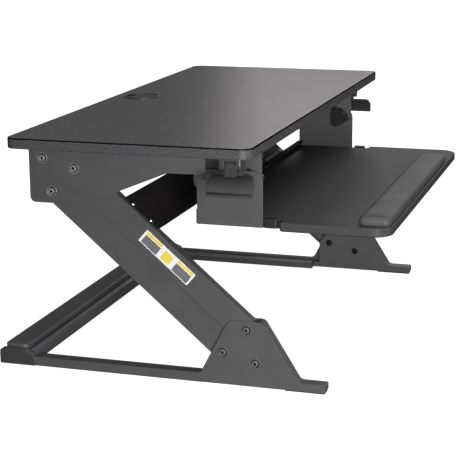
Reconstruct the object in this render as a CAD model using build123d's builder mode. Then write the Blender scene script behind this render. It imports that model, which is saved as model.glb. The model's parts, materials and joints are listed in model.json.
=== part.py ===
from build123d import *
import os
from math import cos, radians, sin

# Standing desk converter on a parallelogram lift, with a tilting keyboard tray under the desktop.
# Millimetres and degrees. X runs across the desk, +Y to the rear, +Z up. The origin is on the
# floor, under the middle of the whole footprint, so the user sits on the -Y side. The lift stands
# at mid height and the tray is level.

# ---- desktop ----
desk_width = 900
desk_depth = 384
desk_thickness = 16
desk_top = 387
desk_underside = desk_top - desk_thickness
desk_centre_y = 57.5
desk_corner = 18
edge_band = 2
grommet_y = 198
grommet_flange_radius = 32
trim_depth = 1.8

# ---- lift linkage, seen from the side as (Y, Z) points ----
front_pivot = (-102.2, 91.3)
link_length = 364.5
link_angle = 40.7
pivot_spacing = 54
second_pivot_angle = -45
lower_third_angle = -105
upper_third_angle = 15

# ---- sheet metal, stacked from the outer face of the frame towards the middle ----
frame_half_width = 366
sheet = 2
layer_gap = 0.5
channel_depth = 22
bracket_inner_face = frame_half_width - channel_depth
upper_web_face = frame_half_width - sheet - layer_gap
lower_web_face = upper_web_face - sheet - layer_gap
link_flange_end = 347

# ---- pivots ----
shank = 4
running_clearance = 0.05
sleeve_radius = 5.5
washer_radius = 8.75

# ---- gas springs, inside the lower links ----
spring_line = 26.6
spring_x = 352.5
cylinder_radius = 6
cylinder_bore = 4.5
rod_radius = 2.5
spring_anchor_distance = 30

# ---- base ----
foot_top = 14
floor_gap = 1.5
foot_front = -226.5
slope_foot = -184
rail_wall_top = 16
rail_top = 11
rail_inner_face = 331
rail_front = -32
rail_end = 254
crossbar_rear = 315
cap_top = 25

# ---- keyboard tray ----
tray_half_width = 334
tray_front = -315
tray_step = -145
tray_rear = -9
tray_top = 255
tray_thickness = 14
tray_bottom = tray_top - tray_thickness
hanger_face = 316.5
hanger_sheet = 2.5
hanger_inner_face = hanger_face - hanger_sheet
tray_plate_face = 312.5
tilt_pivot = (-21, 318)
clamp_bolt = (-91.2, 315.6)
slot_radius = 70.24
slot_start = 171.8
slot_sweep = 22.8

# ---- wrist rest: it stops short on the right, to leave room for a mouse ----
rest_left = -322
rest_right = 222
rest_front = -313
rest_rear = -263
rest_height = 17

# ---- release paddles, under the side edges of the desktop ----
paddle_pin = (389, 351)
paddle_rear = -80.6
paddle_front = -97.8
housing_rear = -71
housing_front = -105.8

HANDS = ((-1, "left"), (1, "right"))


def step_from(point, distance, angle):
    """The (Y, Z) point at a distance and angle from another one."""
    return (point[0] + distance * cos(radians(angle)), point[1] + distance * sin(radians(angle)))


lower_pivot = step_from(front_pivot, pivot_spacing, second_pivot_angle)
lower_spacer = step_from(front_pivot, pivot_spacing, lower_third_angle)
top_pivot = step_from(front_pivot, link_length, link_angle)
rear_pivot = step_from(top_pivot, pivot_spacing, second_pivot_angle)
upper_spacer = step_from(top_pivot, pivot_spacing, upper_third_angle)
spring_anchor = step_from(rear_pivot, spring_anchor_distance, link_angle + 90)


def side_plane(x):
    """Seen from the right: local x is +Y, local y is +Z, and the normal is +X."""
    return Plane.YZ.offset(x)


def front_plane(y):
    """Seen from the front: local x is +X, local y is +Z, and the normal is -Y."""
    return Plane.XZ.offset(-y)


def link_plane(x, pivot):
    """Local x runs up along the link from its base pivot, local y to the link's upper edge."""
    direction = (0, cos(radians(link_angle)), sin(radians(link_angle)))
    return Plane(origin=(x, *pivot), x_dir=direction, z_dir=(1, 0, 0))


def link_normal_plane(x, pivot, reach, height):
    """A plane facing out of the link's upper edge, at a reach along the link from its pivot."""
    seat = link_plane(x, pivot).from_local_coords(Vector(reach, height, 0))
    return Plane(origin=seat, x_dir=(1, 0, 0), z_dir=link_plane(x, pivot).y_dir)


def outline(plane, points, radii):
    """A flat blank with rounded corners, one radius for each corner."""
    with BuildSketch(plane) as blank:
        with BuildLine():
            FilletPolyline(*points, radius=radii, close=True)
        make_face()
    return blank.sketch


def block(x_span, y_span, z_span, mode=Mode.ADD):
    """A box between two limits on each axis."""
    spans = (x_span, y_span, z_span)
    with Locations([tuple((low + high) / 2 for low, high in spans)]):
        Box(*(abs(high - low) for low, high in spans), mode=mode)


def x_bar(x_span, centre, radius, mode=Mode.ADD):
    """A round bar, or a hole, along X through a (Y, Z) point."""
    with Locations(Location(((x_span[0] + x_span[1]) / 2, *centre), (0, 90, 0))):
        Cylinder(radius, abs(x_span[1] - x_span[0]), mode=mode)


def both(side, x_span):
    """The X limits of a piece on the left (-1) or right (+1) side."""
    return (side * x_span[0], side * x_span[1])


def save(built, name):
    built.part.label = name
    export_step(built.part, f"parts/{name}.step")


def pivot_bolt(side, centre):
    """Shoulder bolt with a round socket head in a cup washer, its end riveted inside."""
    washer_x, head_x = frame_half_width + 1.4, frame_half_width + 3.6
    x_bar(both(side, (bracket_inner_face - 1.4, frame_half_width)), centre, shank)
    x_bar(both(side, (frame_half_width, washer_x)), centre, washer_radius)
    x_bar(both(side, (washer_x, head_x)), centre, 5.6)
    with BuildSketch(side_plane(side * head_x)) as socket:
        with Locations(centre):
            RegularPolygon(2.3, 6)
    extrude(socket.sketch, amount=-side * 2, mode=Mode.SUBTRACT)
    x_bar(both(side, (bracket_inner_face - 1.4, bracket_inner_face)), centre, 6)


def sleeve(side, centre, outer_face):
    """Steel tube that keeps the two bracket plates apart around a pivot bolt."""
    span = both(side, (bracket_inner_face + sheet, outer_face))
    x_bar(span, centre, sleeve_radius)
    x_bar(span, centre, shank, mode=Mode.SUBTRACT)


os.makedirs("parts", exist_ok=True)

# =============================== base ===============================
lower_bracket_points = [(foot_front, floor_gap), (foot_front, foot_top), (slope_foot, foot_top),
                        (-126.8, 105.5), (-74, 105.5), (-27, rail_wall_top),
                        (rail_end, rail_wall_top), (rail_end, floor_gap)]
lower_bracket_radii = [2, 2, 10, 10, 14, 10, 0, 0]
inner_plate_points = [(slope_foot, 3.5), (slope_foot, foot_top), (-126.8, 105.5), (-90, 105.5), (-44, 54),
                      (-44, 3.5)]

for side, hand in HANDS:
    # Each bracket is a pressed channel: outer plate, sloped front wall and a smaller inner plate.
    with BuildPart() as lower_bracket:
        extrude(outline(side_plane(side * frame_half_width), lower_bracket_points,
                        lower_bracket_radii), amount=-side * sheet)
        with BuildSketch(side_plane(side * frame_half_width)) as front_wall:
            with BuildLine():
                FilletPolyline(*lower_bracket_points, radius=lower_bracket_radii, close=True)
            make_face()
            offset(amount=-sheet, mode=Mode.SUBTRACT)
            with Locations((-176, 55)):
                Rectangle(108, 102, mode=Mode.INTERSECT)
        extrude(front_wall.sketch, amount=-side * channel_depth)
        extrude(outline(side_plane(side * (bracket_inner_face + sheet)), inner_plate_points,
                        [0, 0, 10, 14, 10, 2]), amount=-side * sheet)
        for centre in (front_pivot, lower_pivot, lower_spacer):
            x_bar(both(side, (bracket_inner_face - 1, frame_half_width + 1)), centre,
                  shank, mode=Mode.SUBTRACT)
    save(lower_bracket, f"lower_bracket_{hand}")

    with BuildPart() as rail:
        foot_x = both(side, (bracket_inner_face + sheet, frame_half_width - sheet))
        block(foot_x, (foot_front + 3, rail_front), (floor_gap, foot_top - sheet))
        rail_x = both(side, (rail_inner_face, frame_half_width - sheet))
        rail_points = [(rail_front, 0.5), (rail_front, rail_top - 4), (rail_front + 4, rail_top),
                       (rail_end, rail_top), (rail_end, 0.5)]
        extrude(outline(side_plane(rail_x[0]), rail_points, [2, 1, 1, 0, 0]),
                amount=rail_x[1] - rail_x[0])
        foot_hollow_x = both(side, (bracket_inner_face + 2 * sheet, frame_half_width - 2 * sheet))
        block(foot_hollow_x, (foot_front + 6, 0), (floor_gap + sheet, rail_top - sheet),
              mode=Mode.SUBTRACT)
        rail_hollow_x = both(side, (rail_inner_face + sheet, frame_half_width - 2 * sheet))
        block(rail_hollow_x, (rail_front + 8, rail_end + 1), (floor_gap + sheet, rail_top - sheet),
              mode=Mode.SUBTRACT)
    save(rail, f"base_rail_{hand}")

with BuildPart() as rear_crossbar:
    bar_points = [(rail_end + 3, 3), (rail_end + 3, 24), (267, 24), (267, 20), (271, 20), (271, 23),
                  (crossbar_rear - 2, 23), (crossbar_rear - 2, 3)]
    extrude(outline(side_plane(12 - frame_half_width), bar_points, [1, 6, 1, 0, 0, 1, 4, 1]),
            amount=2 * (frame_half_width - 12))
    block((-350, 350), (rail_end + 5, crossbar_rear - 4), (2, 18), mode=Mode.SUBTRACT)
save(rear_crossbar, "rear_crossbar")

with BuildPart() as crossbar_cover:
    with BuildSketch(Plane.XY.offset(23)):
        with Locations((0, 292)):
            RectangleRounded(2 * frame_half_width - 28, 40, 9)
    extrude(amount=7)
    fillet(crossbar_cover.faces().sort_by(Axis.Z)[-1].edges(), 2.5)
save(crossbar_cover, "crossbar_cover")

for side, hand in HANDS:
    with BuildPart() as end_cap:
        cap_points = [(249, 0), (257, 20), (272, cap_top), (crossbar_rear, cap_top), (crossbar_rear, 0)]
        extrude(outline(side_plane(side * frame_half_width), cap_points, [2, 7, 12, 5, 2]),
                amount=-side * 12)
        fillet(end_cap.faces().sort_by(Axis.X)[0 if side < 0 else -1].edges(), 1.2)
        block(both(side, (frame_half_width - 13, frame_half_width + 1)), (245, rail_end),
              (-1, rail_wall_top + 1), mode=Mode.SUBTRACT)
    save(end_cap, f"crossbar_cap_{hand}")

with BuildPart() as front_feet:
    for side, hand in HANDS:
        block(both(side, (bracket_inner_face + 1, frame_half_width - 0.5)), (foot_front + 1, -163),
              (0, floor_gap))
save(front_feet, "front_foot_pads")

with BuildPart() as rear_feet:
    for side, hand in HANDS:
        with BuildSketch(Plane.XY) as pad:
            with Locations((side * 315, 286)):
                RectangleRounded(50, 40, 6)
        extrude(pad.sketch, amount=3)
save(rear_feet, "rear_foot_pads")

with BuildPart() as lower_bolts:
    for side, hand in HANDS:
        for centre in (front_pivot, lower_pivot, lower_spacer):
            pivot_bolt(side, centre)
save(lower_bolts, "lower_pivot_bolts")

with BuildPart() as lower_sleeves:
    for side, hand in HANDS:
        sleeve(side, front_pivot, upper_web_face - sheet - 0.2)
        sleeve(side, lower_pivot, lower_web_face - sheet - 0.2)
        sleeve(side, lower_spacer, frame_half_width - sheet)
save(lower_sleeves, "lower_spacer_sleeves")

# =============================== upper links ===============================
panel_low, panel_high, panel_sheet = 206, 276, 1.6
panel_screw_x, panel_screw_radius = 351.5, 2
panel_screw_reaches = (panel_low + 16, panel_high - 16)

for side, hand in HANDS:
    with BuildPart() as upper_link:
        web_points = [(-17, -24), (-17, 17), (link_length + 17, 17), (link_length + 17, -24)]
        web_radii = [10, 15, 15, 10]
        extrude(outline(link_plane(side * upper_web_face, front_pivot), web_points, web_radii),
                amount=-side * sheet)
        with BuildSketch(link_plane(side * upper_web_face, front_pivot)) as flange:
            with Locations((link_length / 2, 17 - sheet / 2)):
                Rectangle(link_length, sheet)
        extrude(flange.sketch, amount=-side * (upper_web_face - link_flange_end))
        for centre in (front_pivot, top_pivot):
            x_bar(both(side, (upper_web_face - sheet - 1, upper_web_face + 1)), centre,
                  shank + running_clearance, mode=Mode.SUBTRACT)
        for reach in panel_screw_reaches:
            with BuildSketch(link_normal_plane(side * panel_screw_x, front_pivot, reach, 14)) as hole:
                Circle(panel_screw_radius)
            extrude(hole.sketch, amount=5, mode=Mode.SUBTRACT)
    save(upper_link, f"upper_link_{hand}")

with BuildPart() as cross_panel:
    with BuildSketch(link_plane(-356, front_pivot)) as panel_web:
        with Locations(((panel_low + panel_high) / 2, 17 + panel_sheet / 2)):
            Rectangle(panel_high - panel_low, panel_sheet)
    extrude(panel_web.sketch, amount=712)
    with BuildSketch(link_plane(-345, front_pivot)) as returns:
        with Locations((panel_low + panel_sheet, 12), (panel_high - panel_sheet, 12)):
            Rectangle(panel_sheet, 12)
    extrude(returns.sketch, amount=690)
    for side, hand in HANDS:
        for reach in panel_screw_reaches:
            with BuildSketch(link_normal_plane(side * panel_screw_x, front_pivot, reach, 16)) as hole:
                Circle(panel_screw_radius)
            extrude(hole.sketch, amount=5, mode=Mode.SUBTRACT)
save(cross_panel, "cross_panel")

with BuildPart() as panel_screws:
    for side, hand in HANDS:
        for reach in panel_screw_reaches:
            seat = link_normal_plane(side * panel_screw_x, front_pivot, reach, 17 + panel_sheet)
            with BuildSketch(seat) as head:
                Circle(4.2)
            extrude(head.sketch, amount=1.8, taper=20)
            with BuildSketch(seat) as threaded_end:
                Circle(panel_screw_radius)
            extrude(threaded_end.sketch, amount=-6)
save(panel_screws, "panel_screws")

# =============================== lower links and gas springs ===============================
cylinder_start, cylinder_end = 34, 214
eye_slot, eye_half_length = 3.4, 10.5

for side, hand in HANDS:
    with BuildPart() as lower_link:
        web_points = [(-16, -16), (-16, 31), (link_length + 16, 31), (link_length + 16, -16)]
        extrude(outline(link_plane(side * lower_web_face, lower_pivot), web_points, [14, 8, 8, 14]),
                amount=-side * sheet)
        with BuildSketch(link_plane(side * lower_web_face, lower_pivot)) as flange:
            with Locations((link_length / 2, -16 + sheet / 2)):
                Rectangle(link_length - 12, sheet)
        extrude(flange.sketch, amount=-side * (lower_web_face - link_flange_end))
        x_bar(both(side, (lower_web_face - sheet - 1, lower_web_face + 1)), lower_pivot,
              shank + running_clearance, mode=Mode.SUBTRACT)
        # The linkage is opened at the rear pivot, so this hole has a wider clearance.
        x_bar(both(side, (lower_web_face - sheet - 1, lower_web_face + 1)), rear_pivot,
              shank + 0.3, mode=Mode.SUBTRACT)
    save(lower_link, f"lower_link_{hand}")

    spring_plane = link_plane(side * spring_x, lower_pivot)
    along_link = spring_plane.x_dir

    def spring_section(reach):
        """A plane across the spring's axis, at a reach along the lower link."""
        seat = spring_plane.from_local_coords(Vector(reach, spring_line, 0))
        return Plane(origin=seat, x_dir=(1, 0, 0), z_dir=along_link)

    with BuildPart() as gas_cylinder:
        with BuildSketch(spring_section(cylinder_start)) as tube:
            Circle(cylinder_radius)
        extrude(tube.sketch, amount=cylinder_end - cylinder_start)
        fillet(gas_cylinder.edges().filter_by(GeomType.CIRCLE), 1.2)
        with BuildSketch(spring_section(cylinder_start + 4)) as bore:
            Circle(cylinder_bore)
        extrude(bore.sketch, amount=cylinder_end - cylinder_start - 12, mode=Mode.SUBTRACT)
        with BuildSketch(spring_section(cylinder_end - 12)) as gland:
            Circle(rod_radius + running_clearance)
        extrude(gland.sketch, amount=20, mode=Mode.SUBTRACT)
        # Saddle bracket that bolts the cylinder to the link's web.
        for reach in (cylinder_start + 22, cylinder_end - 30):
            with BuildSketch(spring_section(reach)) as saddle:
                with Locations((side * 3.25, 0)):
                    Rectangle(6.5, 15)
                Circle(cylinder_radius - 0.5, mode=Mode.SUBTRACT)
            extrude(saddle.sketch, amount=10)
    save(gas_cylinder, f"gas_cylinder_{hand}")

    with BuildPart() as gas_rod:
        rod_start = cylinder_end - 50
        with BuildSketch(spring_section(rod_start)) as rod:
            Circle(rod_radius)
        extrude(rod.sketch, amount=link_length - 6 - rod_start)
        with BuildSketch(spring_section(rod_start)) as piston:
            Circle(cylinder_bore - 0.08)
        extrude(piston.sketch, amount=8)
        with BuildSketch(link_plane(side * (spring_x + 3), lower_pivot)) as eye:
            with Locations((link_length, spring_line)):
                SlotOverall(2 * eye_half_length, 14, rotation=90)
                SlotOverall(2 * eye_slot + 7.2, 7.2, rotation=90, mode=Mode.SUBTRACT)
        extrude(eye.sketch, amount=-side * 6)
    save(gas_rod, f"gas_rod_{hand}")

# =============================== desktop ===============================
bracket_screw_x, plate_screw_x = frame_half_width - 11, 297
bracket_screw_ys, plate_screw_ys = (-22, 60, 140, 238), (-92, -24)
screw_spots = [(side * bracket_screw_x, y) for side, hand in HANDS for y in bracket_screw_ys]
screw_spots += [(side * plate_screw_x, y) for side, hand in HANDS for y in plate_screw_ys]


def desk_outline(inset):
    """The desktop's outline, moved in by a distance."""
    with BuildSketch() as plan:
        with Locations((0, desk_centre_y)):
            RectangleRounded(desk_width - 2 * inset, desk_depth - 2 * inset, desk_corner - inset)
    return plan.sketch


with BuildPart() as desktop_board:
    with BuildSketch(Plane.XY.offset(desk_underside)):
        add(desk_outline(edge_band))
        with Locations((0, grommet_y)):
            Circle(29, mode=Mode.SUBTRACT)
    extrude(amount=desk_thickness)
    with BuildSketch(Plane.XY.offset(desk_top - 0.8)):
        with Locations((0, grommet_y)):
            Circle(grommet_flange_radius + 0.2)
    extrude(amount=2, mode=Mode.SUBTRACT)
    with BuildSketch(Plane.XY.offset(desk_underside)):
        with Locations(screw_spots):
            Circle(2)
    extrude(amount=10, mode=Mode.SUBTRACT)
save(desktop_board, "desktop_board")

with BuildPart() as desktop_edge:
    with BuildSketch(Plane.XY.offset(desk_underside)):
        add(desk_outline(0))
        add(desk_outline(edge_band), mode=Mode.SUBTRACT)
    extrude(amount=desk_thickness - trim_depth)
    chamfer(desktop_edge.faces().sort_by(Axis.Z)[0].outer_wire().edges(), 1)
save(desktop_edge, "desktop_edge_band")

with BuildPart() as desktop_trim:
    with BuildSketch(Plane.XY.offset(desk_top - trim_depth)):
        add(desk_outline(0.5))
        add(desk_outline(edge_band), mode=Mode.SUBTRACT)
    extrude(amount=trim_depth)
save(desktop_trim, "desktop_trim_line")

with BuildPart() as grommet_ring:
    with BuildSketch(Plane.XY.offset(desk_underside + 1)):
        with Locations((0, grommet_y)):
            Circle(29)
    extrude(amount=desk_thickness - 1)
    with BuildSketch(Plane.XY.offset(desk_top - 0.8)):
        with Locations((0, grommet_y)):
            Circle(grommet_flange_radius)
    extrude(amount=3.2)
    fillet(grommet_ring.faces().sort_by(Axis.Z)[-1].edges(), 1.2)
    with Locations((0, grommet_y, desk_top)):
        Cylinder(26.8, 60, mode=Mode.SUBTRACT)
save(grommet_ring, "grommet_ring")

with BuildPart() as grommet_cap:
    with BuildSketch(Plane.XY.offset(desk_top - 1.4)):
        with Locations((0, grommet_y)):
            Circle(26.7)
        with Locations((0, grommet_y + 24)):
            RectangleRounded(15, 22, 5, mode=Mode.SUBTRACT)
    extrude(amount=3)
save(grommet_cap, "grommet_cap")

upper_bracket_points = [(-39, desk_underside), (-39, 329), (21, 329), (160, 271.7), (249, 271.7),
                        (249, desk_underside)]
slot_path = CenterArc(tilt_pivot, slot_radius, slot_start, slot_sweep)
for side, hand in HANDS:
    with BuildPart() as upper_bracket:
        extrude(outline(side_plane(side * frame_half_width), upper_bracket_points,
                        [0, 8, 20, 16, 9, 0]), amount=-side * sheet)
        block(both(side, (bracket_inner_face, frame_half_width)), (-39, 249),
              (desk_underside - sheet, desk_underside))
        extrude(outline(side_plane(side * (bracket_inner_face + sheet)),
                        [(152, desk_underside), (152, 318), (186, 275), (247, 275),
                         (247, desk_underside)], [0, 14, 10, 9, 0]), amount=-side * sheet)
        for centre in (top_pivot, rear_pivot, upper_spacer):
            x_bar(both(side, (bracket_inner_face - 1, frame_half_width + 1)), centre,
                  shank, mode=Mode.SUBTRACT)
        with Locations([(side * bracket_screw_x, y, desk_underside) for y in bracket_screw_ys]):
            Cylinder(2, 10, mode=Mode.SUBTRACT)
    save(upper_bracket, f"upper_bracket_{hand}")

    # The tray plate hangs inside the bracket, and its curved slot lets the tray tilt.
    with BuildPart() as tray_plate:
        extrude(outline(side_plane(side * tray_plate_face),
                        [(-112, desk_underside), (-112, 293), (-3, 293), (-3, desk_underside)],
                        [0, 15, 15, 0]), amount=-side * hanger_sheet)
        block(both(side, (284, tray_plate_face)), (-112, -3),
              (desk_underside - hanger_sheet, desk_underside))
        x_bar(both(side, (300, 320)), tilt_pivot, shank, mode=Mode.SUBTRACT)
        with BuildSketch(side_plane(side * 300)) as tilt_slot:
            SlotArc(slot_path, 2 * shank + 1)
        extrude(tilt_slot.sketch, amount=side * 20, mode=Mode.SUBTRACT)
        with Locations([(side * plate_screw_x, y, desk_underside) for y in plate_screw_ys]):
            Cylinder(2, 10, mode=Mode.SUBTRACT)
    save(tray_plate, f"tray_plate_{hand}")

with BuildPart() as desk_screws:
    for x, y in screw_spots:
        head_top = desk_underside - (hanger_sheet if abs(x) < 320 else sheet)
        with Locations((x, y, head_top - 1.2)):
            Cylinder(4.5, 2.4)
        with Locations((x, y, (head_top + desk_underside + 9.8) / 2)):
            Cylinder(2, desk_underside + 9.8 - head_top)
save(desk_screws, "desk_screws")

with BuildPart() as upper_bolts:
    for side, hand in HANDS:
        for centre in (top_pivot, rear_pivot, upper_spacer):
            pivot_bolt(side, centre)
save(upper_bolts, "upper_pivot_bolts")

with BuildPart() as upper_sleeves:
    for side, hand in HANDS:
        sleeve(side, top_pivot, upper_web_face - sheet - 0.2)
        sleeve(side, rear_pivot, lower_web_face - sheet - 0.2)
        sleeve(side, upper_spacer, frame_half_width - sheet)
save(upper_sleeves, "upper_spacer_sleeves")

with BuildPart() as spring_pins:
    for side, hand in HANDS:
        x_bar(both(side, (bracket_inner_face + sheet, spring_x + 4.5)), spring_anchor, 3)
save(spring_pins, "spring_anchor_pins")

with BuildPart() as tilt_bolts:
    for side, hand in HANDS:
        x_bar(both(side, (tray_plate_face - hanger_sheet - 3, hanger_face + 0.2)), tilt_pivot, shank)
        x_bar(both(side, (hanger_face + 0.2, hanger_face + 3.2)), tilt_pivot, 7)
        x_bar(both(side, (tray_plate_face - hanger_sheet - 3, tray_plate_face - hanger_sheet)),
              tilt_pivot, 7)
        x_bar(both(side, (tray_plate_face, hanger_inner_face - 0.2)), tilt_pivot, 9)
save(tilt_bolts, "tilt_pivot_bolts")

# =============================== keyboard tray ===============================
for side, hand in HANDS:
    with BuildPart() as hanger:
        extrude(outline(side_plane(side * hanger_face),
                        [(-114.5, tray_bottom), (-114.5, 329), (-9, 329), (-9, tray_bottom)],
                        [1, 16, 10, 1]), amount=-side * hanger_sheet)
        block(both(side, (286, hanger_face - 1)), (-112, -12), (tray_bottom, tray_bottom + hanger_sheet))
        x_bar(both(side, (300, 330)), tilt_pivot, shank + running_clearance, mode=Mode.SUBTRACT)
        x_bar(both(side, (300, 330)), clamp_bolt, shank, mode=Mode.SUBTRACT)
    save(hanger, f"tray_hanger_{hand}")

narrow_half_width = hanger_inner_face - 0.4
with BuildPart() as tray_board:
    tray_points = [(-tray_half_width, tray_front), (tray_half_width, tray_front),
                   (tray_half_width, tray_step), (narrow_half_width, tray_step),
                   (narrow_half_width, tray_rear), (-narrow_half_width, tray_rear),
                   (-narrow_half_width, tray_step), (-tray_half_width, tray_step)]
    extrude(outline(Plane.XY.offset(tray_bottom), tray_points, [30, 30, 5, 0, 0, 0, 0, 5]),
            amount=tray_thickness)
    fillet(tray_board.faces().sort_by(Axis.Z)[-1].edges()
           .filter_by_position(Axis.Y, tray_front - 1, tray_step + 1), 2.5)
    fillet(tray_board.faces().sort_by(Axis.Z)[0].edges()
           .filter_by_position(Axis.Y, tray_front - 1, tray_step + 1), 2.5)
    for side, hand in HANDS:
        block(both(side, (285.5, hanger_face)), (-112.5, -11.5),
              (tray_bottom - 1, tray_bottom + hanger_sheet), mode=Mode.SUBTRACT)
save(tray_board, "keyboard_tray")

with BuildPart() as corner_blocks:
    for side, hand in HANDS:
        block(both(side, (narrow_half_width, 324)), (-138, -119), (243, 257.5))
    fillet(corner_blocks.edges().filter_by(Axis.Z), 1.5)
save(corner_blocks, "tray_corner_blocks")

with BuildPart() as tray_beam:
    beam_half = narrow_half_width
    block((-beam_half, beam_half), (tray_rear, tray_rear + hanger_sheet), (tray_bottom, 263.5))
    block((-beam_half, beam_half), (tray_rear - 8, tray_rear), (263.5 - hanger_sheet, 263.5))
save(tray_beam, "tray_rear_beam")

with BuildPart() as clamp_bolts:
    for side, hand in HANDS:
        x_bar(both(side, (297, hanger_face)), clamp_bolt, shank)
        x_bar(both(side, (hanger_face, hanger_face + 2.6)), clamp_bolt, 8)
save(clamp_bolts, "tilt_clamp_bolts")

for side, hand in HANDS:
    with BuildPart() as knob:
        with BuildSketch(side_plane(side * 309.4)) as knob_form:
            with Locations(clamp_bolt):
                Circle(14.5)
                with PolarLocations(14, 3, start_angle=60):
                    Circle(6.5)
        extrude(knob_form.sketch, amount=-side * 15)
        fillet(knob.faces().sort_by(Axis.X)[0 if side > 0 else -1].edges(), 1.5)
        x_bar(both(side, (296.8, 312)), clamp_bolt, shank + running_clearance, mode=Mode.SUBTRACT)
    save(knob, f"tilt_knob_{hand}")

with BuildPart() as wrist_rest:
    rest_points = [(rest_left, rest_front), (rest_right, rest_front), (rest_right, rest_rear),
                   (rest_left, rest_rear)]
    extrude(outline(Plane.XY.offset(tray_top), rest_points, [10, 20, 20, 10]), amount=rest_height)
    fillet(wrist_rest.faces().sort_by(Axis.Z)[-1].edges(), 7)
save(wrist_rest, "wrist_rest")

# =============================== release paddles ===============================
def out_point(side, out, height):
    """An (X, Z) point at a distance out from the middle of the desk, on the left or right side."""
    return (side * out, height)


def pin_circle(side, y, radius):
    """A round section across the paddle's pin, on a plane facing the front."""
    with BuildSketch(front_plane(y)) as section:
        with Locations(out_point(side, *paddle_pin)):
            Circle(radius)
    return section.sketch


pin_height = paddle_pin[1]
paddle_plan = [(-60, 307), (-56.5, 321), (-59, 339), (-124.5, 339), (-129.5, 326), (-127.5, 307)]
for side, hand in HANDS:
    with BuildPart() as housing:
        block(both(side, (376, 402)), (housing_front, housing_rear), (352, desk_underside))
        fillet(housing.edges().filter_by(Axis.Z), 3)
        for ear_rear, ear_front in ((housing_rear, -80), (paddle_front - 0.6, housing_front)):
            extrude(pin_circle(side, ear_rear, 8.5), amount=ear_rear - ear_front)
            block(both(side, (380.5, 397.5)), (ear_front, ear_rear), (pin_height, 356))
        extrude(pin_circle(side, -80, 9), amount=-80 - paddle_front + 0.6, mode=Mode.SUBTRACT)
        block(both(side, (paddle_pin[0], 403)), (paddle_front - 0.6, -80), (340, 359), mode=Mode.SUBTRACT)
        extrude(pin_circle(side, housing_rear - 1, 2.5), amount=50, mode=Mode.SUBTRACT)
    save(housing, f"release_housing_{hand}")

    with BuildPart() as paddle_pin_rod:
        extrude(pin_circle(side, housing_rear - 1, 2.5), amount=housing_rear - housing_front - 1.6)
    save(paddle_pin_rod, f"release_pin_{hand}")

    with BuildPart() as paddle_spring:
        for coil in range(4):
            coil_place = (side * paddle_pin[0], paddle_rear - 2.4 - 1.3 * coil, pin_height)
            with Locations(Location(coil_place, (90, 0, 0))):
                Torus(4.1, 0.65)
    save(paddle_spring, f"release_spring_{hand}")

    with BuildPart() as paddle:
        with BuildSketch(front_plane(-50)) as shell:
            with BuildLine():
                ThreePointArc(out_point(side, 396, 337.5), out_point(side, 410, 331.5),
                              out_point(side, 418, 315.5))
                Line(out_point(side, 418, 315.5), out_point(side, 424, 313))
                Line(out_point(side, 424, 313), out_point(side, 424, 309.8))
                Line(out_point(side, 424, 309.8), out_point(side, 415, 309.8))
                Line(out_point(side, 415, 309.8), out_point(side, 414.6, 315.5))
                ThreePointArc(out_point(side, 414.6, 315.5), out_point(side, 407.5, 328.5),
                              out_point(side, 396, 333.9))
                Line(out_point(side, 396, 333.9), out_point(side, 396, 337.5))
            make_face()
        extrude(shell.sketch, amount=90)
        extrude(outline(side_plane(side * 380), paddle_plan, [4, 6, 7, 8, 8, 5]), amount=side * 60,
                mode=Mode.INTERSECT)
        with BuildSketch(front_plane(paddle_rear)) as arm:
            with BuildLine():
                Polyline(out_point(side, 382, 350), out_point(side, 396, 350),
                         out_point(side, 402, 336.2), out_point(side, 399, 333.4),
                         out_point(side, 390, 334.5), out_point(side, 384, 341), close=True)
            make_face()
        extrude(arm.sketch, amount=paddle_rear - paddle_front)
        extrude(pin_circle(side, paddle_rear, 7.5), amount=paddle_rear - paddle_front)
        extrude(pin_circle(side, paddle_rear, 2.5 + running_clearance), amount=40, mode=Mode.SUBTRACT)
        extrude(pin_circle(side, paddle_rear, 5.4), amount=8, mode=Mode.SUBTRACT)
    save(paddle, f"release_paddle_{hand}")
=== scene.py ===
"""The looks of a standing desk converter: materials, wrist rest, small details, light and camera."""
import json
import math

import bmesh
import bpy
from mathutils import Matrix, Vector


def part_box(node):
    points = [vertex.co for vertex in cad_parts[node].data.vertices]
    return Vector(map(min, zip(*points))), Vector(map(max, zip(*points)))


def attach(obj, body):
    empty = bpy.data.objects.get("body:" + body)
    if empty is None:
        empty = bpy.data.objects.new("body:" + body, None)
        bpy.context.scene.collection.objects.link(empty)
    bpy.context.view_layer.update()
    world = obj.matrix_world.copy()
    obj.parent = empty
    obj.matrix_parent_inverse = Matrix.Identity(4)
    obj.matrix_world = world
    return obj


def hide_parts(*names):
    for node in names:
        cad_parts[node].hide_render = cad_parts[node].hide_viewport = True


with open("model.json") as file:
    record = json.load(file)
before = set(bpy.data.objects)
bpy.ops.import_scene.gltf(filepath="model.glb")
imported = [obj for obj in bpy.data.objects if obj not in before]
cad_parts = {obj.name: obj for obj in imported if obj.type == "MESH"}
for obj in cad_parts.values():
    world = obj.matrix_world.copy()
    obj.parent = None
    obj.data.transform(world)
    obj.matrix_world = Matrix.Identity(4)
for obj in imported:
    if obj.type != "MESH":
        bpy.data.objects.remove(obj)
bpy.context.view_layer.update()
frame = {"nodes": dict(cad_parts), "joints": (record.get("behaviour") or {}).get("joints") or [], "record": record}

NODES = frame["nodes"]
HANDS = ((-1, "left"), (1, "right"))


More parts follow.
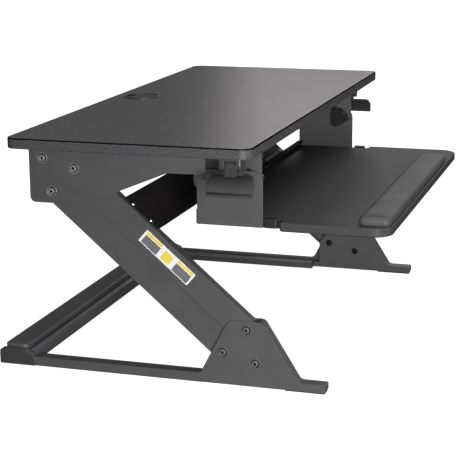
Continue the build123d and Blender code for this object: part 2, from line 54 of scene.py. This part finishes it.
# ---------------------------------------------------------------- materials
class Finish:
    """A Principled material with a helper for each kind of surface detail, in the part's metres."""

    def __init__(self, name, colour, roughness, metallic=0.0, specular=0.5):
        self.material = bpy.data.materials.new(name)
        self.material.use_nodes = True
        self.tree = self.material.node_tree
        self.shader = self.tree.nodes["Principled BSDF"]
        self.shader.inputs["Base Color"].default_value = (*colour, 1.0)
        self.shader.inputs["Roughness"].default_value = roughness
        self.shader.inputs["Metallic"].default_value = metallic
        self.shader.inputs["Specular IOR Level"].default_value = specular
        self.place = self.tree.nodes.new("ShaderNodeTexCoord").outputs["Object"]
        self.normal = None

    def link(self, source, target):
        self.tree.links.new(source, target)

    def noise(self, scale, detail=4.0, rough=0.55, stretch=None):
        node = self.tree.nodes.new("ShaderNodeTexNoise")
        node.inputs["Scale"].default_value = scale
        node.inputs["Detail"].default_value = detail
        node.inputs["Roughness"].default_value = rough
        place = self.place
        if stretch:
            mapping = self.tree.nodes.new("ShaderNodeMapping")
            mapping.inputs["Scale"].default_value = stretch
            self.link(place, mapping.inputs["Vector"])
            place = mapping.outputs["Vector"]
        self.link(place, node.inputs["Vector"])
        return node.outputs["Fac"]

    def cells(self, scale, feature="F1"):
        node = self.tree.nodes.new("ShaderNodeTexVoronoi")
        node.feature = feature
        node.inputs["Scale"].default_value = scale
        self.link(self.place, node.inputs["Vector"])
        return node.outputs["Distance"]

    def ramp(self, fac, stops):
        """A colour ramp over (position, colour) stops."""
        node = self.tree.nodes.new("ShaderNodeValToRGB")
        elements = node.color_ramp.elements
        while len(elements) < len(stops):
            elements.new(0.5)
        for element, (position, colour) in zip(elements, stops):
            element.position = position
            element.color = (*colour, 1.0)
        self.link(fac, node.inputs["Fac"])
        return node.outputs["Color"]

    def levels(self, fac, low, high, from_low=0.3, from_high=0.7):
        node = self.tree.nodes.new("ShaderNodeMapRange")
        node.inputs["From Min"].default_value = from_low
        node.inputs["From Max"].default_value = from_high
        node.inputs["To Min"].default_value = low
        node.inputs["To Max"].default_value = high
        self.link(fac, node.inputs["Value"])
        return node.outputs["Result"]

    def mix(self, fac, a, b, blend="MIX"):
        node = self.tree.nodes.new("ShaderNodeMix")
        node.data_type = "RGBA"
        node.blend_type = blend
        for socket, value in ((node.inputs["Factor"], fac), (node.inputs[6], a), (node.inputs[7], b)):
            if hasattr(value, "is_linked"):
                self.link(value, socket)
            elif isinstance(value, tuple):
                socket.default_value = (*value, 1.0)
            else:
                socket.default_value = value
        return node.outputs[2]

    def colour(self, output):
        self.link(output, self.shader.inputs["Base Color"])

    def roughness(self, output):
        self.link(output, self.shader.inputs["Roughness"])

    def bump(self, height, strength, distance):
        node = self.tree.nodes.new("ShaderNodeBump")
        node.inputs["Strength"].default_value = strength
        node.inputs["Distance"].default_value = distance
        self.link(height, node.inputs["Height"])
        if self.normal:
            self.link(self.normal, node.inputs["Normal"])
        self.normal = node.outputs["Normal"]
        self.link(self.normal, self.shader.inputs["Normal"])

    def soft_edges(self, radius):
        """Rounds the shading of sharp edges, as a real pressed or moulded edge is rounded."""
        node = self.tree.nodes.new("ShaderNodeBevel")
        node.samples = 6
        node.inputs["Radius"].default_value = radius
        self.normal = node.outputs["Normal"]
        self.link(self.normal, self.shader.inputs["Normal"])

    def set(self, name, value):
        self.shader.inputs[name].default_value = value


def shades(colour, *factors):
    return [tuple(channel * factor for channel in colour) for factor in factors]


def powder_coat(name, colour, roughness, specular=0.5):
    finish = Finish(name, colour, roughness, specular=specular)
    finish.soft_edges(0.0008)
    low, mid, high = shades(colour, 0.86, 1.0, 1.16)
    clouds = finish.ramp(finish.noise(9, 3), [(0.32, low), (0.5, mid), (0.7, high)])
    grain = finish.noise(1500, 2)
    finish.colour(finish.mix(0.35, clouds, finish.ramp(grain, [(0.3, low), (0.75, high)])))
    finish.roughness(finish.levels(finish.noise(40, 4), roughness - 0.05, roughness + 0.06))
    finish.bump(grain, 0.22, 0.0002)
    return finish


FRAME_PAINT = powder_coat("frame_powder_coat", (0.052, 0.051, 0.053), 0.46).material
# Painted shade: a near-black coat that stands in for the shade under the desk on the cross panel and the tray's
# rear beam.
SHADE_PAINT = powder_coat("painted_shade_powder_coat", (0.011, 0.0095, 0.010), 0.7, specular=0.1).material
BASE_PAINT = powder_coat("base_powder_coat", (0.049, 0.048, 0.051), 0.45).material


def laminate(name, colour, roughness, speck, specular=0.5, mottle=0.0):
    finish = Finish(name, colour, roughness, specular=specular)
    low, mid, high = shades(colour, 0.72, 1.0, 1.35)
    pebble = finish.cells(650)
    fine = finish.noise(1100, 2)
    base = finish.ramp(fine, [(0.3, low), (0.5, mid), (0.72, high)])
    # Painted highlight: light specks at the pebble centres, added to the colour as glint.
    glint = finish.ramp(pebble, [(0.0, (speck, speck, speck)), (0.16, (0.0, 0.0, 0.0))])
    speckled = finish.mix(1.0, base, glint, "ADD")
    if mottle:
        dark, light = shades((1, 1, 1), 1 - mottle, 1 + mottle)
        blotches = finish.ramp(finish.noise(480, 2), [(0.32, dark), (0.68, light)])
        speckled = finish.mix(1.0, speckled, blotches, "MULTIPLY")
    finish.colour(speckled)
    finish.roughness(finish.levels(fine, roughness - 0.03, roughness + 0.03))
    finish.bump(pebble, 0.35, 0.0004)
    finish.bump(fine, 0.25, 0.0002)
    return finish


DESKTOP = laminate("desktop_laminate", (0.071, 0.0695, 0.0715), 0.25, 0.03,
                   specular=0.3, mottle=0.22).material
EDGE = laminate("edge_band", (0.042, 0.042, 0.044), 0.5, 0.05, specular=0.2, mottle=0.55).material
TRAY = laminate("tray_laminate", (0.034, 0.034, 0.0355), 0.5, 0.03, specular=0.16, mottle=0.25).material


def moulded(name, colour, roughness, specular=0.5):
    finish = Finish(name, colour, roughness, specular=specular)
    finish.soft_edges(0.0012)
    low, high = shades(colour, 0.8, 1.3)
    spark = finish.noise(1800, 2)
    finish.colour(finish.ramp(spark, [(0.3, low), (0.7, high)]))
    finish.roughness(finish.levels(finish.noise(60, 3), roughness - 0.06, roughness + 0.06))
    finish.bump(spark, 0.3, 0.0002)
    return finish


PLASTIC = moulded("moulded_plastic", (0.03, 0.03, 0.031), 0.38).material
KNOB = moulded("knob_plastic", (0.014, 0.014, 0.015), 0.26).material
RUBBER = moulded("rubber", (0.012, 0.012, 0.012), 0.8).material


def steel(name, colour, roughness, stretch=None):
    finish = Finish(name, colour, roughness, metallic=1.0)
    finish.soft_edges(0.0004)
    low, high = shades(colour, 0.8, 1.15)
    finish.colour(finish.ramp(finish.noise(220, 5, stretch=stretch), [(0.35, low), (0.68, high)]))
    finish.roughness(finish.levels(finish.noise(500, 3), roughness - 0.08, roughness + 0.1))
    finish.bump(finish.noise(1400, 3), 0.08, 0.0002)
    return finish


BOLT = steel("bolt_black_oxide", (0.16, 0.16, 0.165), 0.36).material
ZINC = steel("zinc_plate", (0.5, 0.5, 0.5), 0.32).material
CHROME = steel("rod_chrome", (0.75, 0.76, 0.77), 0.1, stretch=(1, 0.05, 0.05)).material
BLACK_GLOSS = moulded("cylinder_paint", (0.008, 0.008, 0.008), 0.25).material
# Painted highlight: a light grey non-metal that stands in for the steel rims' reflection; the upper bolts wear it,
# the lower ones a darker rim.
RIM_HIGHLIGHT = moulded("bolt_rim_painted_highlight", (0.12, 0.12, 0.122), 0.42).material
RIM_DARK = moulded("bolt_rim_dark", (0.06, 0.06, 0.062), 0.42).material
# Painted shade: a near-black for the bolts' sockets and grooves, where shade falls.
RECESS_SHADE_BLACK = moulded("bolt_recess_painted_shade", (0.004, 0.004, 0.004), 0.7, specular=0.15).material
# Painted shade: a pure black without reflection for the trim line, standing in for the shade in the groove between
# the desktop and its edge band.
GROOVE_SHADE_BLACK = moulded("trim_line", (0.001, 0.001, 0.001), 0.8, specular=0.0).material


def paper(name, colour):
    finish = Finish(name, colour, 0.45)
    low, high = shades(colour, 0.88, 1.05)
    finish.colour(finish.ramp(finish.noise(350, 3), [(0.3, low), (0.7, high)]))
    finish.roughness(finish.levels(finish.noise(90, 3), 0.38, 0.52))
    return finish


DECAL_WHITE = paper("decal_white", (0.6, 0.6, 0.6)).material
DECAL_YELLOW = paper("decal_yellow", (0.58, 0.46, 0.06)).material
DECAL_GREY = paper("decal_grey", (0.11, 0.11, 0.115)).material


def leather(name, colour, roughness):
    finish = Finish(name, colour, roughness, specular=0.35)
    low, mid, high = shades(colour, 0.75, 1.0, 1.3)
    grain = finish.cells(900, "DISTANCE_TO_EDGE")
    clouds = finish.noise(25, 4)
    finish.colour(finish.ramp(clouds, [(0.3, low), (0.5, mid), (0.7, high)]))
    finish.roughness(finish.levels(grain, roughness + 0.08, roughness - 0.05, 0.0, 0.3))
    finish.bump(grain, 0.3, 0.0002)
    return finish


LEATHER = leather("rest_leather", (0.042, 0.042, 0.044), 0.5).material

MATERIAL_OF_SLOT = {
    "frame_paint": FRAME_PAINT, "desktop_laminate": DESKTOP, "edge_band": EDGE, "tray_board": TRAY,
    "rest_foam": LEATHER, "moulded_plastic": PLASTIC, "rubber_pad": RUBBER, "bolt_steel": BOLT,
    "plain_steel": ZINC, "rod_chrome": CHROME, "cylinder_paint": BLACK_GLOSS, "trim_line": GROOVE_SHADE_BLACK,
}
SLOT_OF_NODE = {part["node"]: part["material_slot"] for part in frame["record"]["subparts"]}
# The cross panel and the tray's rear beam take the near-black painted-shade coat.
SPECIAL = {"cross_panel": SHADE_PAINT, "tray_rear_beam": SHADE_PAINT, "tray_corner_blocks": KNOB,
           "tilt_pivot_bolts": BOLT, "rear_crossbar": BASE_PAINT, "crossbar_cover": BASE_PAINT}
for hand in ("left", "right"):
    SPECIAL[f"base_rail_{hand}"] = BASE_PAINT
    SPECIAL[f"tilt_knob_{hand}"] = KNOB

for node_name, node in NODES.items():
    material = SPECIAL.get(node_name, MATERIAL_OF_SLOT[SLOT_OF_NODE[node_name]])
    node.data.materials.clear()
    node.data.materials.append(material)


# ---------------------------------------------------------------- pieces
def mesh_piece(name, vertices, faces, materials, body, smooth_angle=35.0):
    """A smooth-shaded mesh object that rides on a CAD body. Each face is (corner indices,
    material index)."""
    mesh = bpy.data.meshes.new(name)
    mesh.from_pydata([tuple(v) for v in vertices], [], [corners for corners, _ in faces])
    for material in materials:
        mesh.materials.append(material)
    for polygon, (_, material_index) in zip(mesh.polygons, faces):
        polygon.material_index = material_index
    tidy = bmesh.new()
    tidy.from_mesh(mesh)
    bmesh.ops.recalc_face_normals(tidy, faces=tidy.faces)
    tidy.to_mesh(mesh)
    tidy.free()
    mesh.shade_smooth()
    mesh.set_sharp_from_angle(angle=math.radians(smooth_angle))
    piece = bpy.data.objects.new(name, mesh)
    bpy.context.scene.collection.objects.link(piece)
    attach(piece, body)
    return piece


def lathe(profile, centre, side, segments=36, hex_radius=None):
    """Vertices and faces of a turned form on the X axis. profile is (radius, height, material index),
    heights counted outwards from centre. A hex_radius makes that part of the profile six-sided."""
    vertices, faces, rings = [], [], []
    for radius, height, _ in profile:
        if radius == 0:
            rings.append([len(vertices)] * segments)
            vertices.append(Vector((centre[0] + side * height, centre[1], centre[2])))
            continue
        ring = []
        for step in range(segments):
            angle = 2 * math.pi * step / segments
            reach = radius
            if hex_radius and abs(radius - hex_radius) < 1e-6:
                from_flat_middle = (angle % (math.pi / 3)) - math.pi / 6
                reach = radius * math.cos(math.pi / 6) / math.cos(from_flat_middle)
            ring.append(len(vertices))
            vertices.append(Vector((centre[0] + side * height, centre[1] + reach * math.cos(angle),
                                    centre[2] + reach * math.sin(angle))))
        rings.append(ring)
    for lower, upper, (_, _, material_index) in zip(rings, rings[1:], profile[1:]):
        for step in range(segments):
            after = (step + 1) % segments
            corners = []
            for corner in (lower[step], lower[after], upper[after], upper[step]):
                if corner not in corners:
                    corners.append(corner)
            faces.append((corners, material_index))
    return vertices, faces


def merged(parts):
    """Joins several (vertices, faces) into one."""
    vertices, faces = [], []
    for part_vertices, part_faces in parts:
        shift = len(vertices)
        vertices += part_vertices
        faces += [([corner + shift for corner in corners], index) for corners, index in part_faces]
    return vertices, faces


MM = 0.001

# Pivot bolts: a domed head with a hex socket, a groove, a raised washer rim, and the shank; the socket and groove
# are painted near black as shade.
# Each step is (radius, height above the bracket's face, material): 0 is the metal, 1 the recess in painted shade.
SOCKET = 2.3
BOLT_PROFILE = [(0, 1.4, 1), (SOCKET, 1.4, 1), (SOCKET, 3.2, 1), (2.7, 3.5, 0), (3.5, 3.6, 0),
                (4.6, 3.45, 0), (5.3, 2.9, 0), (5.6, 2.2, 0), (5.65, 0.7, 1), (6.1, 0.45, 1),
                (6.7, 0.5, 1), (7.1, 1.1, 0), (7.5, 1.5, 0), (8.2, 1.5, 0), (8.65, 1.1, 0),
                (8.75, 0, 0), (4, 0, 1), (4, -22, 1), (6, -22, 1), (6, -23, 1), (5.4, -23.4, 1),
                (0, -23.4, 1)]


def solid_boxes(name):
    """The lowest and highest corners of each separate solid of a CAD node."""
    mesh = bmesh.new()
    mesh.from_mesh(NODES[name].data)
    bmesh.ops.remove_doubles(mesh, verts=mesh.verts, dist=1e-6)
    seen, boxes = set(), []
    for start in mesh.verts:
        if start in seen:
            continue
        stack, island = [start], []
        seen.add(start)
        while stack:
            vertex = stack.pop()
            island.append(vertex.co.copy())
            for edge in vertex.link_edges:
                other = edge.other_vert(vertex)
                if other not in seen:
                    seen.add(other)
                    stack.append(other)
        low = Vector([min(v[axis] for v in island) for axis in range(3)])
        high = Vector([max(v[axis] for v in island) for axis in range(3)])
        boxes.append((low, high))
    mesh.free()
    return boxes


FRAME_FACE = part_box("upper_bracket_right")[1].x
bolt_profile_m = [(radius * MM, height * MM, index) for radius, height, index in BOLT_PROFILE]
# The upper bolts' rims carry the painted highlight colour; the lower bolts get the darker rim.
for level, body, rim in (("upper", "desk", RIM_HIGHLIGHT), ("lower", "base", RIM_DARK)):
    parts = []
    for low, high in solid_boxes(f"{level}_pivot_bolts"):
        side = 1 if low.x > 0 else -1
        place = Vector((side * FRAME_FACE, (low.y + high.y) / 2, (low.z + high.z) / 2))
        parts.append(lathe(bolt_profile_m, place, side, hex_radius=SOCKET * MM))
    bolts = mesh_piece(f"{level}_bolt_set", *merged(parts), [rim, RECESS_SHADE_BLACK], body)
    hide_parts(f"{level}_pivot_bolts")


# ---- wrist rest: a firm padded bar, crowned, with rounded ends
def rounded_loop(x_low, x_high, y_low, y_high, low_radius, high_radius, corner_steps=8, x_steps=48):
    """Points round a rectangle with rounded corners, with spare points along its long sides.
    Its two ends have different radii."""
    loop = []
    corners = ((x_high, y_high, 0), (x_low, y_high, 90), (x_low, y_low, 180), (x_high, y_low, 270))
    for x, y, start in corners:
        radius = high_radius if x == x_high else low_radius
        cx = x - radius if x == x_high else x + radius
        cy = y - radius if y == y_high else y + radius
        for step in range(corner_steps + 1):
            angle = math.radians(start + 90 * step / corner_steps)
            loop.append((cx + radius * math.cos(angle), cy + radius * math.sin(angle)))
        if start in (0, 180):
            far = x_low + low_radius if start == 0 else x_high - high_radius
            for step in range(1, x_steps):
                loop.append((cx + (far - cx) * step / x_steps, y))
    return loop


low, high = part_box("wrist_rest")
REST_HEIGHT = high.z - low.z
# Each ring is (distance in from the plan's edge, share of the height).
REST_RINGS = [(2.2, 0.0), (0.5, 0.1), (0.0, 0.3), (0.2, 0.5), (1.0, 0.65), (2.6, 0.77), (5.0, 0.86),
              (8.5, 0.93), (13.0, 0.975), (18.0, 0.995), (22.0, 1.0)]
REST_END_RADII = (10.0, 20.0)
RADIUS_LOSS = 0.85
LEAST_RADIUS = 1.5
SAG_DEPTH = 0.9
rest_vertices, rest_faces, rest_loops = [], [], []
for inset, share in REST_RINGS:
    radii = [max(radius - inset * RADIUS_LOSS, LEAST_RADIUS) * MM for radius in REST_END_RADII]
    inset *= MM
    loop = rounded_loop(low.x + inset, high.x - inset, low.y + inset, high.y - inset, *radii)
    rest_loops.append(range(len(rest_vertices), len(rest_vertices) + len(loop)))
    for x, y in loop:
        sag = SAG_DEPTH * MM * math.sin(19 * x + 0.6) * math.sin(7 * x) * share ** 3
        rest_vertices.append(Vector((x, y, low.z + REST_HEIGHT * share - abs(sag))))
for lower, upper in zip(rest_loops, rest_loops[1:]):
    count = len(lower)
    for step in range(count):
        after = (step + 1) % count
        rest_faces.append(([lower[step], lower[after], upper[after], upper[step]], 0))
rest_faces.append((list(reversed(rest_loops[0])), 0))
rest_faces.append((list(rest_loops[-1]), 0))
rest = mesh_piece("wrist_rest_pad", rest_vertices, rest_faces, [LEATHER], "tray", smooth_angle=80.0)
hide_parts("wrist_rest")


# ---- a plain decal on each upper link, made of blank colour blocks
def link_point(side, along, across, lift):
    """A point on the outer face of an upper link, by its distance along and across it."""
    pivot = Vector(LIFT_PIVOT)
    direction = Vector((0, math.cos(LINK_ANGLE), math.sin(LINK_ANGLE)))
    normal = Vector((0, -direction.z, direction.y))
    outwards = Vector((side * (FRAME_FACE - LINK_SETBACK + lift), 0, 0))
    return outwards + Vector((0, pivot.y, pivot.z)) + along * direction + across * normal


def panel(side, along, across, lift):
    """A thin raised rectangle on the link's outer face."""
    vertices = [link_point(side, along[i], across[j], level) for level in (0, lift)
                for i, j in ((0, 0), (1, 0), (1, 1), (0, 1))]
    faces = [((0, 1, 2, 3), 0), ((4, 5, 6, 7), 0)]
    faces += [((i, (i + 1) % 4, (i + 1) % 4 + 4, i + 4), 0) for i in range(4)]
    return vertices, faces


LIFT_PIVOT = next(joint for joint in frame["joints"] if joint["name"] == "lift")["pos_m"]
slide_axis = next(joint for joint in frame["joints"] if joint["name"] == "gas_spring_slide")["axis"]
LINK_ANGLE = math.atan2(slide_axis[2], slide_axis[1])
LINK_SETBACK = 2.5 * MM
LABEL_LIFT, BLOCK_LIFT = 0.12 * MM, 0.18 * MM
PANEL_FACES = 6
# Each rectangle is (reach along the link from its front pivot, reach across it).
DECAL = ((0.114, 0.216), (-0.0145, 0.0085))
YELLOW_BLOCKS = [((0.117, 0.148), (0.0025, 0.0072)), ((0.181, 0.212), (0.0025, 0.0072)),
                 ((0.156, 0.173), (-0.0118, 0.0045))]
GREY_BLOCKS = [((0.117, 0.148), (-0.0132, 0.0012)), ((0.181, 0.212), (-0.0132, 0.0012))]
for side, hand in HANDS:
    layers = [panel(side, *DECAL, LABEL_LIFT)]
    layers += [panel(side, *block, BLOCK_LIFT) for block in YELLOW_BLOCKS + GREY_BLOCKS]
    vertices, faces = merged(layers)
    layer_colours = [0] + [1] * len(YELLOW_BLOCKS) + [2] * len(GREY_BLOCKS)
    faces = [(corners, layer_colours[index // PANEL_FACES]) for index, (corners, _) in enumerate(faces)]
    decal = mesh_piece(f"link_decal_{hand}", vertices, faces, [DECAL_WHITE, DECAL_YELLOW, DECAL_GREY],
                       "upper_links")


# ---------------------------------------------------------------- light, floor and camera
def softbox(name, place, target, size, power, tint=(1.0, 1.0, 1.0)):
    light = bpy.data.lights.new(name, "AREA")
    light.shape = "RECTANGLE"
    light.size, light.size_y = size
    light.energy = power
    light.color = tint
    lamp = bpy.data.objects.new(name, light)
    lamp.location = place
    lamp.rotation_euler = (Vector(target) - Vector(place)).to_track_quat("-Z", "Y").to_euler()
    bpy.context.scene.collection.objects.link(lamp)


DARK_SIDE_SPREAD = (0.35, 0.97)
HORIZON_SPREAD = (-0.12, 0.1)


def studio_world(bright, dark, dark_heading, below):
    """A white studio, darker on one side so that flat tops don't mirror it evenly, and darker below."""
    world = bpy.data.worlds.new("studio")
    world.use_nodes = True
    tree = world.node_tree
    direction = tree.nodes.new("ShaderNodeTexCoord").outputs["Generated"]
    towards = tree.nodes.new("ShaderNodeVectorMath")
    towards.operation = "DOT_PRODUCT"
    tree.links.new(direction, towards.inputs[0])
    towards.inputs[1].default_value = (math.sin(dark_heading), math.cos(dark_heading), 0.0)
    level = tree.nodes.new("ShaderNodeMapRange")
    level.interpolation_type = "SMOOTHSTEP"
    level.inputs["From Min"].default_value, level.inputs["From Max"].default_value = DARK_SIDE_SPREAD
    level.inputs["To Min"].default_value = bright
    level.inputs["To Max"].default_value = dark
    tree.links.new(towards.outputs["Value"], level.inputs["Value"])
    height = tree.nodes.new("ShaderNodeSeparateXYZ")
    tree.links.new(direction, height.inputs[0])
    fade = tree.nodes.new("ShaderNodeMapRange")
    fade.inputs["From Min"].default_value, fade.inputs["From Max"].default_value = HORIZON_SPREAD
    fade.inputs["To Min"].default_value = below
    fade.inputs["To Max"].default_value = 1.0
    tree.links.new(height.outputs["Z"], fade.inputs["Value"])
    strength = tree.nodes.new("ShaderNodeMath")
    strength.operation = "MULTIPLY"
    tree.links.new(level.outputs["Result"], strength.inputs[0])
    tree.links.new(fade.outputs["Result"], strength.inputs[1])
    background = tree.nodes["Background"]
    background.inputs["Color"].default_value = (1.0, 1.0, 1.0, 1.0)
    tree.links.new(strength.outputs["Value"], background.inputs["Strength"])
    bpy.context.scene.world = world


studio_world(0.22, 0.08, math.radians(52), 0.4)
bpy.context.scene.view_settings.view_transform = "Standard"

sun_data = bpy.data.lights.new("sun", "SUN")
sun_data.energy = 2.5
sun_data.angle = math.radians(50)
sun = bpy.data.objects.new("sun", sun_data)
sun.rotation_euler = Vector((0.12, 0.3, -1.0)).to_track_quat("-Z", "Y").to_euler()
bpy.context.scene.collection.objects.link(sun)
softbox("sheen", (3.5, -0.15, 1.5), (0.3, 0, 0.39), (2.6, 0.9), 13, (1.0, 0.965, 0.96))
softbox("front_low", (-0.5, -2.6, 0.35), (-0.35, -0.2, 0.1), (0.8, 0.3), 12)
softbox("left_fill", (-1.7, -0.8, 0.32), (-0.36, 0, 0.25), (0.8, 0.6), 43, (1.0, 0.985, 0.98))


def glowing(name, corners, faces, base, strength):
    """A glowing white surface of the studio, seen by the camera and not in reflections."""
    mesh = bpy.data.meshes.new(name)
    mesh.from_pydata(corners, [], faces)
    surface = bpy.data.objects.new(name, mesh)
    bpy.context.scene.collection.objects.link(surface)
    finish = Finish(f"studio_{name}", (base, base, base), 0.9, specular=0.0)
    finish.set("Emission Color", (1.0, 1.0, 1.0, 1.0))
    finish.set("Emission Strength", strength)
    mesh.materials.append(finish.material)
    surface.visible_diffuse = False
    surface.visible_glossy = False
    return surface


FLOOR_HALF = 20.0
WALL_HEIGHT = 15.0
floor_corners = [(-FLOOR_HALF, -FLOOR_HALF, 0), (FLOOR_HALF, -FLOOR_HALF, 0),
                 (FLOOR_HALF, FLOOR_HALF, 0), (-FLOOR_HALF, FLOOR_HALF, 0)]
wall_corners = floor_corners + [(x, y, WALL_HEIGHT) for x, y, _ in floor_corners]
wall_faces = [(i, (i + 1) % 4, (i + 1) % 4 + 4, i + 4) for i in range(4)]
floor = glowing("floor", floor_corners, [(0, 1, 2, 3)], 0.3, 0.97)
backdrop = glowing("backdrop", wall_corners, wall_faces, 0.0, 1.05)
backdrop.visible_shadow = False

CAMERA_PLACE = (-2.3339, -0.6920, 0.7502)
LENS_MM = 110.55
camera_data = bpy.data.cameras.new("camera")
camera_data.sensor_width = 36.0
camera_data.lens = LENS_MM
camera_data.clip_end = 200.0
camera = bpy.data.objects.new("camera", camera_data)
heading, dip, roll = math.radians(72.66), math.radians(13.71), math.radians(-0.45)
camera.matrix_world = (Matrix.Translation(CAMERA_PLACE)
                       @ Matrix.Rotation(-heading, 4, "Z")
                       @ Matrix.Rotation(math.pi / 2 - dip, 4, "X")
                       @ Matrix.Rotation(roll, 4, "Z"))
bpy.context.scene.collection.objects.link(camera)
bpy.context.scene.camera = camera
